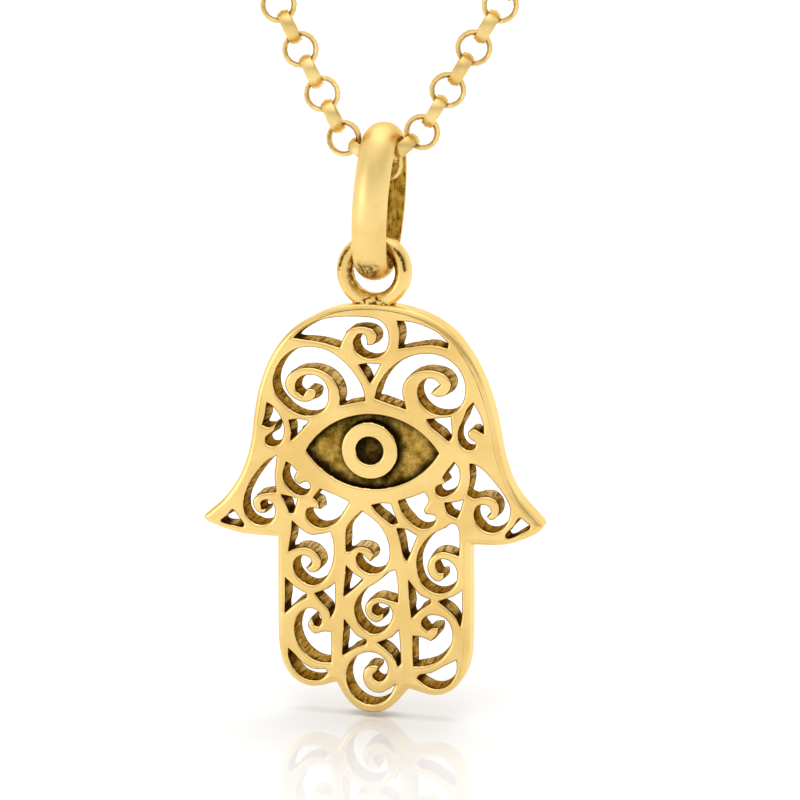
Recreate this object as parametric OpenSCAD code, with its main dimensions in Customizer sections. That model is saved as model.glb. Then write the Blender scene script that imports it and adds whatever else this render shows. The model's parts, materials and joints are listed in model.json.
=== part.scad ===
// A pierced hamsa pendant on a belcher chain, in millimetres, hanging as it is worn.
// +Z is up, -Y is the front. The origin is the top of the chain, where the necklace hangs.

/* [Hand] */
// Width from wing tip to wing tip
hand_w = 24.3; // [20:0.1:32]
// Height from the top of the dome to the tip of the middle finger
hand_h = 29.1; // [24:0.1:38]
// Thickness of the plate
plate_t = 1.8; // [1.4:0.1:2.4]

/* [Eye] */
// Length of the sunk eye between its corners
eye_w = 9.5; // [7.5:0.1:10]
// Height of the sunk eye
eye_h = 5.25; // [4.6:0.05:5.6]
// How far the floor of the eye lies below the front
eye_depth = 0.8; // [0.3:0.05:1]
// Diameter of the ring that stands for the iris
iris_d = 4; // [3:0.1:4.4]
// Diameter of the sunk pupil
pupil_d = 1.95; // [1.2:0.05:2.6]
// Slope of the eye, in degrees
eye_tilt = 1.7; // [0:0.1:4]

/* [Loop] */
// Outer diameter of the loop soldered to the dome
loop_d = 5.2; // [4.9:0.1:6]
// Diameter of the hole in the loop
loop_bore = 3; // [2.8:0.1:3.4]
// Thickness of the loop from front to back
loop_t = 1.4; // [1:0.1:1.8]
// Width of the bevels on the loop's edges
loop_bevel = 0.3; // [0.1:0.05:0.35]

/* [Bail] */
// Height of the bail over its outer faces
bail_h = 10.85; // [9:0.05:14]
// Width of the bail's band
bail_w = 2.4; // [1.8:0.1:2.5]
// Thickness of the band along its middle
bail_t = 0.9; // [0.7:0.05:1.1]
// Thickness of the band at its edges
bail_edge = 0.2; // [0.15:0.05:0.4]
// Inner distance between the front and the back of the bail, halfway up
bail_gap = 4.9; // [4.4:0.1:5.6]
// Inner radius of the bends at the bail's top and bottom
bail_bend = 1.75; // [1.6:0.05:1.9]
// Lean of the bail to the right, in degrees
bail_lean = 4.2; // [0:0.1:5]

/* [Chain] */
// Length of the whole necklace with its clasp
chain_len = 406.4; // [340:0.1:420]
// Outer diameter of a link
link_d = 2.5; // [2.4:0.02:2.6]
// Thickness of a link's wire, measured along the link's radius
link_t = 0.34; // [0.26:0.02:0.36]
// Width of a link's wire, measured along the link's axis
link_w = 0.8; // [0.6:0.05:0.85]
// Slope of the left strand, in degrees from level
rise_left = 63; // [58:1:68]
// Slope of the right strand, in degrees from level
rise_right = 58; // [52:0.5:64]
// Slope of the left strand's first two links
first_left = 29.5; // [24:0.5:33]
// Slope of the right strand's first two links
first_right = 40.5; // [36:0.5:44]

/* [Clasp] */
// Distance between the eyes at the clasp's ends
clasp_len = 12; // [9:0.5:16]
// Diameter of the clasp's barrel
clasp_d = 3; // [2.4:0.1:4]
// Thickness of the wire of the clasp's eyes
clasp_eye_t = 0.4; // [0.3:0.02:0.5]

/* [Hidden] */
gold = [0.93, 0.74, 0.38];
gold_deep = [0.86, 0.66, 0.3];

// Gaps that the pieces keep
link_gap = 0.15;
seat_gap = 0.27;
bend_gap = 0.06;
// The middle of the bail's upper bend lies so far left of the link that carries it
bail_aside = 0.23;
// The bail's front and back are so much slimmer all round than its bends, and their ends reach so
// many degrees into the bends, so that all four are one solid
side_inset = 0.01;
side_into = 0.6;

// The drawing of the hand is made in squares, counted from the middle of the iris:
// so many to the hand's width and so many to its height
squares_w = 24.3;
squares_h = 29.1;
dome_top = 10.25;
loop_aside = 0.19;
// Longest facet of a drawn curve, in squares
facet = 0.32;
// The loop's foot: how far it sinks into the dome, and the spread and height of its solder
loop_sink = 0.43;
foot_low = 3.4;
foot_high = 2.2;
foot_rise = 0.75;
foot_sink = 0.25;
// Share of a link's wire that is flat on its inner and outer faces
link_flat = 0.36;
// Length of the clasp's tapered ends, and the diameter that they taper to
clasp_taper = 1.2;
clasp_tip_d = 1.5;
// The middle of the eye, in squares
eye_at = [0.18, -0.06];

// Outline of the hand from the top of the dome anticlockwise: squares across, squares up,
// and 1 at a sharp corner or 0 where the line runs on smoothly
outline = [
    [0.2, 10.25, 0], [-2.2, 9.98, 0], [-4, 9.28, 0], [-5.5, 8.3, 0], [-6.6, 7.05, 0], [-7.35, 5.7, 0],
    [-7.95, 4, 0], [-8.3, 2.2, 0], [-8.55, 0.3, 0], [-8.95, -1.2, 0], [-9.6, -2.6, 0], [-10.6, -3.95, 0],
    [-11.65, -4.9, 0], [-12.1, -5.4, 0], [-11.6, -5.8, 0], [-9.4, -6.4, 0], [-6.65, -6.5, 1],
    [-6.68, -12.5, 0], [-6.6, -14.6, 0], [-6.2, -16, 0], [-5.4, -16.9, 0], [-4.2, -17.25, 0],
    [-2.45, -16.8, 1], [-1.7, -18, 0], [-0.9, -18.65, 0], [0.05, -18.85, 0], [1, -18.65, 0],
    [1.85, -18, 0], [2.8, -16.9, 1], [4.6, -17.25, 0], [5.8, -16.85, 0], [6.65, -15.9, 0],
    [7.05, -14.5, 0], [7.15, -12, 0], [7.1, -6.25, 1], [9.6, -6.1, 0], [11.4, -5.4, 0], [12.2, -4.75, 0],
    [11.75, -4.15, 0], [10.45, -2.7, 0], [9.75, -1.4, 0], [9.3, 0, 0], [9, 1.5, 0], [8.7, 2.9, 0],
    [8.2, 4.5, 0], [7.65, 5.8, 0], [6.85, 7.15, 0], [5.75, 8.45, 0], [4.3, 9.4, 0], [2.4, 10.02, 0],
];

// Gaps of the dome, each with the columns of the outline
crown_left = [
    [-5.4, 7.7, 1], [-4.7, 7.62, 0], [-3.4, 7.48, 0], [-2.1, 7.15, 1], [-1.9, 7.7, 0], [-1.4, 8.45, 0],
    [-0.6, 8.68, 0], [0.1, 8.58, 0], [0.52, 8.2, 0], [0.5, 7.75, 0], [0.2, 7.42, 0], [-0.15, 7.4, 1],
    [-0.22, 7.95, 0], [-0.45, 8.15, 0], [-0.8, 8.1, 1], [-1.12, 7.6, 0], [-0.9, 6.9, 0], [-0.1, 6.5, 0],
    [0.65, 6.62, 0], [1.2, 7.15, 0], [1.38, 7.9, 0], [1.2, 8.7, 0], [0.6, 9.2, 0], [-0.6, 9.34, 0],
    [-2.3, 9.25, 0], [-3.5, 8.98, 0], [-4.6, 8.4, 0],
];
crown_right = [
    [1.95, 9.15, 1], [2.15, 8.4, 0], [2.08, 7.25, 1], [3, 7.42, 0], [4.3, 7.6, 0], [5.5, 7.42, 1],
    [5.55, 7.75, 1], [4.9, 8.38, 0], [4, 8.82, 0], [3, 9.1, 0],
];
crown_wedge = [
    [-0.75, 6, 1], [-0.35, 5.45, 0], [0.05, 4.75, 1], [0.4, 5.35, 0], [0.78, 6.1, 1], [0, 6.12, 0],
];
brow_left = [
    [-0.3, 3.5, 1], [-0.5, 4.4, 0], [-1.05, 5.35, 0], [-1.85, 6.2, 0], [-2.85, 6.85, 0], [-4, 7.1, 0],
    [-5.1, 6.95, 0], [-6, 6.4, 0], [-6.65, 5.5, 0], [-6.9, 4.6, 0], [-6.7, 3.7, 0], [-6.1, 3, 0],
    [-5.4, 2.5, 0], [-4.6, 2.28, 0], [-3.75, 2.42, 0], [-3.1, 3, 0], [-2.92, 3.9, 0], [-3.2, 4.7, 0],
    [-3.85, 5.12, 0], [-4.6, 5.08, 0], [-5.2, 4.65, 0], [-5.25, 4, 0], [-4.75, 3.65, 1], [-4.35, 4.2, 0],
    [-3.78, 4.05, 1], [-3.9, 3.55, 0], [-4.4, 3.25, 0], [-5.1, 3.3, 0], [-5.75, 3.75, 0], [-6.02, 4.4, 0],
    [-5.75, 5.1, 0], [-5, 5.55, 0], [-4.1, 5.65, 0], [-3.2, 5.42, 0], [-2.5, 4.85, 0], [-2.15, 4.1, 0],
    [-2.1, 3.1, 1],
];
brow_right = [
    [0.4, 3.72, 1], [0.65, 4.6, 0], [1.2, 5.5, 0], [2, 6.25, 0], [3, 6.77, 0], [4.2, 6.97, 0],
    [5.3, 6.75, 0], [6.2, 6.1, 0], [6.68, 5.2, 0], [6.75, 4.3, 0], [6.45, 3.5, 0], [5.9, 2.95, 0],
    [5.2, 2.77, 0], [4.4, 2.9, 0], [3.75, 3.4, 0], [3.42, 4.1, 0], [3.5, 4.75, 0], [4, 5.2, 0],
    [4.6, 5.22, 0], [5.02, 4.85, 1], [4.62, 4.5, 0], [4.35, 4.22, 1], [4.75, 4.03, 0], [5.25, 4.08, 0],
    [5.65, 4.45, 0], [5.77, 5, 0], [5.45, 5.5, 0], [4.85, 5.78, 0], [4.1, 5.86, 0], [3.35, 5.7, 0],
    [2.75, 5.3, 0], [2.4, 4.7, 0], [2.35, 4.1, 0], [2.6, 3.05, 1], [1.5, 3.36, 0],
];

// Gaps beside the eye
cheek_left = [
    [-5.78, 1.88, 1], [-5.62, 1.1, 0], [-5.68, 0.45, 1], [-5.2, 0.9, 0], [-4.33, 1.88, 1], [-5, 1.98, 0],
];
cheek_right = [
    [4.05, 2.4, 1], [4.4, 1.9, 0], [5.05, 1.42, 0], [5.6, 0.95, 1], [5.82, 1.3, 0], [5.75, 2.65, 1],
    [4.9, 2.52, 0],
];
temple_left = [
    [-7.38, 3.05, 1], [-7.5, 2.2, 0], [-7.72, 1.42, 1], [-7.2, 1.32, 0], [-6.72, 1.6, 1], [-6.85, 1.1, 0],
    [-7.2, 0.8, 0], [-7.52, 0.5, 0], [-7.4, 0.12, 0], [-7, -0.02, 0], [-6.5, 0.2, 0], [-6.2, 0.7, 0],
    [-6.15, 1.4, 0], [-6.5, 2.25, 0], [-7, 2.85, 0],
];
temple_right = [
    [7.3, 3.72, 1], [6.92, 3.25, 0], [6.65, 2.55, 0], [6.33, 1.8, 0], [6.3, 1.1, 0], [6.6, 0.6, 0],
    [7.05, 0.42, 0], [7.45, 0.62, 0], [7.48, 1, 1], [7.1, 1.22, 0], [6.95, 1.65, 0], [7.4, 1.9, 0],
    [8.05, 1.55, 1], [8, 2.25, 0], [7.72, 3, 0],
];

// Gaps of the wings
wing_left = [
    [-6.68, -0.7, 1], [-7.4, -1.12, 0], [-8.1, -1.9, 0], [-8.7, -2.8, 0], [-9.08, -3.8, 0], [-9.12, -4.7, 0],
    [-8.75, -5.35, 0], [-8.1, -5.7, 0], [-7.4, -5.6, 0], [-6.95, -5.15, 0], [-6.85, -4.5, 0],
    [-7.1, -4.05, 0], [-7.5, -3.9, 0], [-7.9, -4.15, 0], [-7.82, -4.6, 1], [-7.5, -4.55, 1],
    [-7.62, -4.85, 0], [-8, -4.85, 0], [-8.35, -4.5, 0], [-8.43, -4, 0], [-8.12, -3.6, 0],
    [-7.5, -3.4, 0], [-6.75, -3.3, 1], [-6.86, -2.2, 0], [-6.76, -1.4, 0],
];
wing_right = [
    [7.08, -0.55, 1], [7.15, -1.6, 0], [6.95, -2.7, 1], [7.4, -2.95, 0], [8.1, -2.78, 0], [8.7, -2.85, 0],
    [9.1, -3.2, 0], [9.18, -3.8, 0], [8.95, -4.25, 0], [8.6, -4.42, 0], [8.33, -4.22, 1], [8.6, -3.9, 0],
    [8.45, -3.5, 0], [8, -3.38, 0], [7.6, -3.55, 0], [7.42, -4.1, 0], [7.6, -4.7, 0], [8.1, -5.15, 0],
    [8.75, -5.28, 0], [9.4, -4.98, 0], [9.85, -4.3, 0], [9.93, -3.5, 0], [9.55, -2.7, 0], [8.9, -1.85, 0],
    [8.1, -1, 0], [7.5, -0.62, 0],
];
wing_tip_left = [
    [-9.95, -4.72, 0], [-10.35, -5.2, 0], [-10.85, -5.58, 0], [-10.6, -5.8, 0], [-9.9, -5.85, 0],
    [-9.3, -5.98, 0], [-9.15, -5.75, 0], [-9.55, -5.2, 0],
];
wing_tip_right = [
    [10.6, -4.15, 0], [10.2, -4.75, 0], [9.65, -5.4, 0], [9.72, -5.65, 0], [10.05, -5.62, 0],
    [10.7, -5.22, 0],
    [11.25, -4.9, 0], [11.3, -4.65, 0], [11.02, -4.42, 0],
];
wing_curl_left = [
    [-6, -1.1, 1], [-6.25, -2, 0], [-6.1, -2.6, 0], [-5.6, -3.15, 0], [-5, -3.42, 0], [-4.52, -3.25, 0],
    [-4.27, -2.8, 0], [-4.5, -2.42, 0], [-5.05, -2.65, 1], [-5.38, -2.4, 0], [-5.4, -2.05, 0],
    [-5.2, -1.75, 1], [-5.6, -1.35, 0],
];
wing_curl_right = [
    [6, -0.5, 1], [5.6, -1, 0], [5.2, -1.6, 1], [5.4, -1.95, 0], [5, -2.15, 1], [4.72, -2.35, 0],
    [4.78, -2.75, 0], [5.15, -2.95, 0], [5.75, -2.72, 0], [6.22, -2.2, 0], [6.4, -1.5, 0], [6.3, -0.9, 0],
];
wing_wedge_left = [
    [-6.4, -3.45, 1], [-6.1, -4, 0], [-5.78, -4.75, 1], [-5.5, -4.7, 1], [-5.35, -4.2, 0], [-5.2, -3.68, 1],
    [-5.8, -3.56, 0],
];
wing_wedge_right = [
    [5.35, -3.4, 1], [5.5, -3.95, 0], [5.75, -4.22, 0], [6.22, -4.4, 1], [6.45, -3.85, 0], [6.65, -3.12, 1],
    [6, -3.32, 0],
];

// Gaps under the eye
palm_curl_left = [
    [-3.55, -2.9, 1], [-4.05, -3.55, 1], [-3.72, -3.85, 0], [-3.6, -4.35, 1], [-4.1, -4.28, 0],
    [-4.5, -4.42, 0], [-4.58, -4.9, 0], [-4.2, -5.4, 0], [-3.6, -5.65, 0], [-2.9, -5.5, 0], [-2.25, -5, 0],
    [-1.8, -4.3, 0], [-1.45, -3.7, 1], [-2.4, -3.3, 0],
];
palm_curl_right = [
    [2.05, -3.45, 1], [2.35, -4.2, 0], [2.9, -4.85, 0], [3.6, -5.28, 0], [4.25, -5.2, 0], [4.65, -4.8, 0],
    [4.72, -4.38, 1], [4.4, -4.28, 0], [4.02, -4.28, 1], [3.88, -4, 0], [4.1, -3.6, 0], [4.2, -3.2, 0],
    [3.9, -2.72, 1], [3.2, -3.05, 0],
];
palm_wedge_upper = [
    [0.15, -3.85, 1], [0.6, -4.4, 0], [1.6, -5.15, 1], [2, -5, 1], [1.8, -4.45, 0], [1.52, -3.68, 1],
    [0.9, -3.68, 0],
];
palm_wedge_lower = [
    [1.95, -5.4, 1], [2.2, -6.3, 0], [2.42, -7.3, 0], [2.65, -7.7, 1], [2.95, -7, 0], [3.4, -5.85, 1],
    [2.6, -5.45, 0],
];

// Gaps of the left finger, from the palm down
left_scroll = [
    [-5.6, -5.3, 1], [-5.7, -6.3, 0], [-5.9, -7.52, 1], [-5.3, -7.25, 0], [-4.65, -7.15, 0],
    [-4.05, -7.35, 0],
    [-3.6, -7.85, 0], [-3.52, -8.4, 0], [-3.85, -8.85, 0], [-4.3, -8.92, 0], [-4.62, -8.62, 1],
    [-4.22, -8.35, 0], [-4.3, -7.95, 0], [-4.8, -7.75, 0], [-5.3, -7.98, 0], [-5.55, -8.5, 0],
    [-5.35, -9.15, 0], [-4.8, -9.65, 0], [-4.1, -9.84, 0], [-3.4, -9.48, 0], [-2.87, -8.7, 0],
    [-2.6, -7.6, 0], [-2.65, -6.5, 0], [-2.85, -5.95, 1], [-3.5, -6.12, 0], [-4.25, -6.22, 0],
    [-4.98, -5.85, 0],
];
left_wedge_outer = [
    [-6.15, -9.45, 1], [-6.15, -10.8, 0], [-6.2, -12, 1], [-5.4, -11.25, 0], [-4.6, -10.75, 1],
    [-4.6, -10.48, 1],
    [-5.3, -10.15, 0],
];
left_wedge_inner = [
    [-4, -10.45, 1], [-3.45, -11.1, 0], [-3, -11.55, 0], [-2.85, -12.1, 1], [-2.55, -11.4, 0],
    [-2.5, -9.6, 1],
    [-3.2, -10.12, 0],
];
left_comma = [
    [-4.3, -11.55, 0], [-3.72, -11.8, 0], [-3.52, -12.4, 0], [-3.75, -12.85, 0], [-4.05, -12.72, 1],
    [-4.2, -12.22, 1], [-4.5, -12.65, 0], [-4.4, -13.05, 0], [-4, -13.38, 0], [-3.4, -13.2, 0],
    [-2.85, -13.2, 1], [-2.8, -14.2, 0], [-2.85, -15.38, 1], [-3.6, -15.4, 0], [-4.3, -15.15, 0],
    [-5, -14.55, 0], [-5.45, -13.6, 0], [-5.45, -12.7, 0], [-5.05, -11.9, 0],
];
left_crescent = [
    [-5.95, -14.6, 1], [-5.95, -15.2, 0], [-5.6, -16, 0], [-5, -16.6, 0], [-4.3, -16.8, 0], [-3.6, -16.7, 0],
    [-3.1, -16.2, 1], [-3.25, -15.92, 1], [-4.1, -15.95, 0], [-4.9, -15.6, 0], [-5.5, -15, 0],
];

// Gaps of the middle finger, from the palm down
middle_scroll_upper = [
    [-0.55, -4.3, 1], [-1.2, -4.95, 0], [-1.65, -5.6, 0], [-1.72, -6.4, 0], [-1.7, -7.28, 1],
    [-1.4, -7.22, 0],
    [-1, -6.95, 0], [-0.5, -6.87, 0], [0.05, -7.05, 0], [0.25, -7.45, 0], [0.02, -7.9, 1], [-0.4, -7.5, 0],
    [-0.75, -7.32, 0], [-0.98, -7.75, 0], [-0.75, -8.3, 0], [-0.2, -8.68, 0], [0.4, -8.7, 0],
    [1, -8.35, 0], [1.38, -7.65, 0], [1.4, -6.8, 0], [1.1, -5.85, 0], [0.5, -5.05, 0],
];
middle_wedge_upper = [
    [-1.7, -8.3, 1], [-1.78, -9.3, 0], [-1.9, -10.5, 1], [-1.2, -9.92, 0], [-0.5, -9.22, 1], [-1.2, -8.78, 0],
];
middle_scroll_lower = [
    [1.85, -8.4, 1], [1.35, -8.6, 0], [0.6, -9.3, 0], [-0.2, -9.85, 0], [-0.85, -10.6, 0], [-1.1, -11.4, 0],
    [-0.9, -12.2, 0], [-0.4, -12.8, 0], [0.2, -13.08, 0], [0.9, -12.85, 0], [1.45, -12.2, 0],
    [1.64, -11.5, 0], [1.35, -11, 0], [0.8, -10.85, 0], [0.3, -11.05, 0], [0.18, -11.5, 0],
    [0.55, -11.75, 1], [1, -11.55, 1], [0.95, -11.98, 0], [0.45, -12.25, 0], [0, -12.05, 0],
    [-0.34, -11.5, 0], [-0.25, -10.95, 0], [0.15, -10.58, 0], [0.7, -10.42, 0], [1.3, -10.55, 0],
    [2, -10.7, 1], [2.02, -9.5, 0],
];
middle_wedge_left = [
    [-1.85, -12.2, 1], [-1.92, -13.4, 0], [-2, -14.8, 1], [-1.2, -14.28, 0], [-0.3, -13.85, 1],
    [-0.25, -13.6, 1], [-0.95, -13.3, 0],
];
middle_wedge_right = [
    [0.55, -13.72, 1], [1.2, -14.18, 0], [1.75, -14.75, 0], [2.02, -15.35, 1], [2.22, -15.1, 1],
    [2.2, -14, 0],
    [2.1, -12.7, 1], [1.6, -13.22, 0],
];
middle_swirl = [
    [0.1, -14.45, 0], [-0.7, -14.65, 0], [-1.35, -15.2, 0], [-1.7, -16.1, 0], [-1.6, -17, 0],
    [-1.1, -17.8, 0],
    [-0.4, -18.2, 0], [0.3, -18.25, 0], [1, -17.95, 0], [1.5, -17.4, 0], [1.85, -16.65, 1], [1.4, -17.02, 0],
    [0.8, -17.35, 0], [0.2, -17.3, 0], [-0.3, -16.9, 0], [-0.5, -16.2, 0], [-0.3, -15.6, 0],
    [0.15, -15.38, 0], [0.62, -15.45, 1], [0.5, -15.8, 0], [0.18, -16.15, 0], [0.6, -16.55, 0],
    [1.08, -16.25, 0], [1.3, -15.65, 0], [1.15, -15, 0], [0.7, -14.6, 0],
];

// Gaps of the right finger, from the palm down
right_scroll = [
    [5.95, -4.82, 0], [5.3, -5.2, 0], [4.5, -5.65, 0], [3.85, -6.35, 0], [3.42, -7.3, 0], [3.42, -8.3, 0],
    [3.75, -9.2, 0], [4.4, -9.72, 0], [5.05, -9.85, 0], [5.7, -9.6, 0], [6.15, -9.05, 0], [6.25, -8.3, 0],
    [6, -7.75, 0], [5.5, -7.42, 0], [5, -7.45, 0], [4.68, -7.8, 0], [4.95, -8.4, 1], [5.32, -8.35, 1],
    [5.28, -8.8, 0], [4.85, -9.02, 0], [4.4, -8.75, 0], [4.15, -8.2, 0], [4.22, -7.6, 0], [4.6, -7.1, 0],
    [5.2, -6.86, 0], [5.8, -6.95, 0], [6.35, -7.1, 1], [6.4, -6, 0], [6.3, -5.15, 0],
];
right_wedge_inner = [
    [2.78, -9.05, 1], [2.85, -10.3, 0], [3, -11.75, 1], [3.6, -11.12, 0], [4.35, -10.6, 1], [4.35, -10.35, 1],
    [3.6, -10.05, 0],
];
right_wedge_outer = [
    [4.9, -10.45, 1], [5.6, -10.95, 0], [6.15, -11.5, 0], [6.48, -12.15, 1], [6.6, -11.3, 0], [6.6, -9.55, 1],
    [6, -10, 0],
];
right_comma = [
    [3.1, -13.05, 1], [3.1, -14.2, 0], [3.15, -15.25, 1], [3.9, -15.15, 0], [4.8, -14.8, 0], [5.5, -14.1, 0],
    [5.9, -13.2, 0], [5.85, -12.3, 0], [5.4, -11.65, 0], [4.7, -11.45, 0], [4.05, -11.6, 0], [3.7, -12.1, 0],
    [4.1, -12.62, 1], [4.45, -12.4, 0], [4.95, -12.3, 1], [4.85, -12.8, 0], [4.4, -13.35, 1],
    [3.9, -13.15, 0],
];
right_crescent = [
    [3.4, -16.1, 1], [3.6, -15.85, 1], [4.5, -15.6, 0], [5.3, -15.1, 0], [6.2, -14.6, 1], [6.25, -15.2, 0],
    [6, -16, 0], [5.5, -16.55, 0], [4.8, -16.78, 0], [4.1, -16.6, 0],
];
gaps = [
    crown_left, crown_right, crown_wedge, brow_left, brow_right, cheek_left, cheek_right, temple_left,
    temple_right, wing_left, wing_right, wing_tip_left, wing_tip_right, wing_curl_left, wing_curl_right,
    wing_wedge_left, wing_wedge_right, palm_curl_left, palm_curl_right, palm_wedge_upper, palm_wedge_lower,
    left_scroll, left_wedge_outer, left_wedge_inner, left_comma, left_crescent, middle_scroll_upper,
    middle_wedge_upper, middle_scroll_lower, middle_wedge_left, middle_wedge_right, middle_swirl,
    right_scroll, right_wedge_inner, right_wedge_outer, right_comma, right_crescent,
];

// Sizes that follow from the ones above
cell_w = hand_w / squares_w;
cell_h = hand_h / squares_h;
front = -plate_t / 2;
link_bore = link_d - 2 * link_t;
link_pitch = link_bore - link_gap;
loop_r = loop_d / 2;

// From the side the bail is an oval of four arcs that run on smoothly: the upper and the lower bend,
// and the front and the back, of a larger radius. bail_reach is from its middle to that of a bend
bail_reach = bail_h / 2 - bail_t - bail_bend;
side_r = (pow(bail_gap / 2, 2) + pow(bail_reach, 2) - pow(bail_bend, 2)) / (bail_gap - 2 * bail_bend);
side_turn = asin(bail_reach / (side_r - bail_bend));

// The route of the chain, in the plane of the hand, from the link that carries the bail:
// two links at the first slope, a straight strand, then an arc over the neck
links_a_side = 2 * round(((chain_len - clasp_len) / link_pitch - 4) / 4) + 1;
loop_len = 2 * (links_a_side + 1) * link_pitch + clasp_len;
slopes = [180 - rise_left, rise_right];
firsts = [180 - first_left, first_right];
function along(angle) = [cos(angle), sin(angle)];
knees = [for (side = [0, 1]) 2 * link_pitch * along(firsts[side])];
slope_cross = cross(along(slopes[0]), along(slopes[1]));
knee_reach = [
    cross(knees[0] - knees[1], along(slopes[1])) / slope_cross,
    cross(knees[0] - knees[1], along(slopes[0])) / slope_cross,
];
apex = knees[0] - knee_reach[0] * along(slopes[0]);
half_open = (slopes[0] - slopes[1]) / 2;
neck_turn = 180 + 2 * half_open;
neck_r = (loop_len - 4 * link_pitch + knee_reach[0] + knee_reach[1])
    / (2 / tan(half_open) + neck_turn * PI / 180);
neck_mid = apex + neck_r / sin(half_open) * along((slopes[0] + slopes[1]) / 2);
strands = [for (side = [0, 1]) neck_r / tan(half_open) - knee_reach[side]];

// Place and slope on one side of the route, so far from the link that carries the bail
function turn_of(side) = side == 0 ? -1 : 1;
function over_neck(side, u) =
    [neck_mid + neck_r * along(slopes[side] + turn_of(side) * (u - 90)), slopes[side] + turn_of(side) * u];
function route(side, s) =
    s <= 2 * link_pitch ? [s * along(firsts[side]), firsts[side]]
    : s <= 2 * link_pitch + strands[side]
        ? [knees[side] + (s - 2 * link_pitch) * along(slopes[side]), slopes[side]]
    : over_neck(side, (s - 2 * link_pitch - strands[side]) / neck_r * 180 / PI);

// Places of the pieces, each hung from the one above it: the link that carries the bail, the middle
// of the bail's upper bend, the middle of the loop, and the middle of the iris.
// The bend just clears the upper edge of the next link on the right, where the chain turns up and
// where the bail's lean lowers its band
carrier = -neck_mid - [0, neck_r];
next_edge = link_pitch * sin(first_right) + link_w / 2 * cos(first_right) + bail_w / 2 * sin(bail_lean);
bail_above = next_edge - sqrt(pow(bail_bend - bend_gap, 2) - pow((link_bore + link_t) / 2, 2));
bail_top = carrier + [-bail_aside, bail_above];
bar_seat = sqrt(pow(loop_bore / 2 - seat_gap, 2) - pow(bail_w / 2, 2));
loop_mid = bail_top - (2 * bail_reach + bail_bend + bar_seat) * along(90 - bail_lean);
iris = loop_mid - [loop_aside, dome_top * cell_h + loop_r - loop_sink];

// A closed curve through the rows of a table, in millimetres
function spot(p) = [p[0] * cell_w, p[1] * cell_h];
function slope_at(p, q, r, chord) =
    q[2] == 1 ? chord
    : (spot(r) - spot(p)) * norm(chord) / (norm(spot(q) - spot(p)) + norm(spot(r) - spot(q)));
function hermite(a, b, m, n, t) =
    (2 * pow(t, 3) - 3 * pow(t, 2) + 1) * a + (pow(t, 3) - 2 * pow(t, 2) + t) * m
    + (3 * pow(t, 2) - 2 * pow(t, 3)) * b + (pow(t, 3) - pow(t, 2)) * n;
function curve(rows) = [
    for (i = [0:len(rows) - 1])
        let (
            n = len(rows),
            p = rows[(i + n - 1) % n], q = rows[i], r = rows[(i + 1) % n], s = rows[(i + 2) % n],
            chord = spot(r) - spot(q),
            straight = q[2] == 1 && r[2] == 1,
            steps = straight ? 1 : max(2, ceil(norm([r[0] - q[0], r[1] - q[1]]) / facet)),
            m = slope_at(p, q, r, chord), e = slope_at(q, r, s, chord)
        )
        for (k = [0:steps - 1]) hermite(spot(q), spot(r), m, e, k / steps)
];

// A shape drawn in the plane of the hand, from one depth to another
module upright(from, to) {
    translate([0, to, 0]) rotate([90, 0, 0]) linear_extrude(to - from) children();
}

// The plate with its gaps sawn right through
module plate() {
    upright(-plate_t / 2, plate_t / 2) difference() {
        polygon(curve(outline));
        for (gap = gaps) polygon(curve(gap));
    }
}

// The eye is two arcs that meet in corners, sunk round the iris, and the iris is sunk at the pupil
module eye_sink() {
    arc_r = (pow(eye_w, 2) + pow(eye_h, 2)) / (4 * eye_h);
    upright(-plate_t, front + eye_depth) difference() {
        translate([eye_at[0] * cell_w, eye_at[1] * cell_h]) rotate(eye_tilt) intersection() {
            translate([0, eye_h / 2 - arc_r]) circle(arc_r, $fn = 160);
            translate([0, arc_r - eye_h / 2]) circle(arc_r, $fn = 160);
        }
        circle(d = iris_d, $fn = 64);
    }
    upright(-plate_t, front + eye_depth) circle(d = pupil_d, $fn = 48);
}

// The loop has bevelled edges and stands on a low foot of solder
module loop() {
    half = loop_t / 2;
    b = loop_bevel;
    inner = loop_bore / 2;
    translate([loop_aside, 0, dome_top * cell_h + loop_r - loop_sink]) rotate([90, 0, 0])
        rotate_extrude($fn = 72)
            polygon([
                [inner, half - b], [inner + b, half], [loop_r - b, half], [loop_r, half - b],
                [loop_r, b - half], [loop_r - b, -half], [inner + b, -half], [inner, b - half],
            ]);
}

module foot() {
    half = (loop_t - loop_bevel) / 2;
    top = dome_top * cell_h;
    translate([loop_aside, 0, 0]) upright(-half, half) difference() {
        polygon([
            [-foot_low / 2, top - 2 * foot_rise], [foot_low / 2, top - 2 * foot_rise],
            [foot_low / 2, top - foot_sink], [foot_high / 2, top + foot_rise],
            [-foot_high / 2, top + foot_rise], [-foot_low / 2, top - foot_sink],
        ]);
        translate([0, top + loop_r - loop_sink]) circle(d = loop_bore + 2 * loop_bevel, $fn = 72);
    }
}

module hand() {
    color(gold) translate([iris[0], 0, iris[1]]) {
        difference() {
            plate();
            eye_sink();
        }
        foot();
        loop();
    }
}

// Section of the bail's band: flat inside, domed outside, at its distance from the arc's middle and
// slimmer by the inset all round
module band_section(distance, inset) {
    crown = bail_t - bail_edge;
    crown_r = (pow(bail_w / 2, 2) + pow(crown, 2)) / (2 * crown);
    translate([distance, 0]) intersection() {
        translate([inset, inset - bail_w / 2]) square([bail_t - 2 * inset, bail_w - 2 * inset]);
        translate([bail_t - inset - crown_r, 0]) circle(crown_r, $fn = 96);
    }
}

// One arc of the bail round a place behind and above its middle, between two angles that count from
// the back and up
module bail_arc(behind, above, r, from, to, inset) {
    translate([0, behind, above]) rotate([0, 90, 0]) rotate([0, 0, 90 + from])
        rotate_extrude(angle = to - from, $fn = 96) band_section(r, inset);
}

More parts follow.
